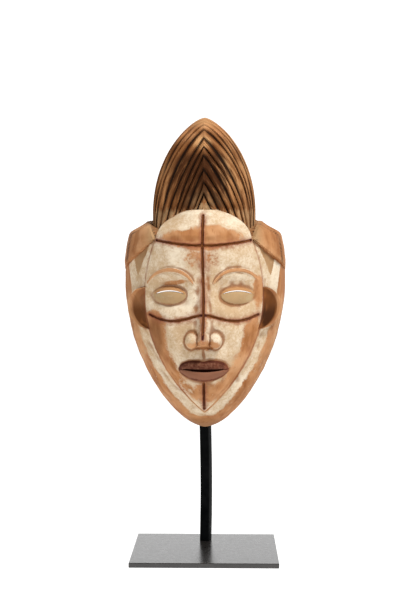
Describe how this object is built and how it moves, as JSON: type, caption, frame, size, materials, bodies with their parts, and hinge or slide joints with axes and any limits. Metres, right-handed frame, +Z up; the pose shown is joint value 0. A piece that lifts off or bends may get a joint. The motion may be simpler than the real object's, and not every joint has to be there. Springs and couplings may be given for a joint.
{
  "type": "carved face mask on stand",
  "caption": "Hollow carved wooden face mask with closed eyes and a tall pointed crest of braided hair, hung on a bent square bar that rises from a flat rectangular plate.",
  "frame": {"origin": "centre of the base plate's underside", "axes": "+Z up along the stand to the crest's tip, -Y the way the mask looks, +X to the right as seen from in front"},
  "size_m": [0.169, 0.1524, 0.452],
  "materials": {
    "carved_wood": "dry, with worn white kaolin on the face and dark brown hair",
    "black_steel": "satin black"
  },
  "bodies": {
    "root": {"mask": "carved_wood", "stand_bar": "black_steel", "base_plate": "black_steel"}
  },
  "joints": []
}
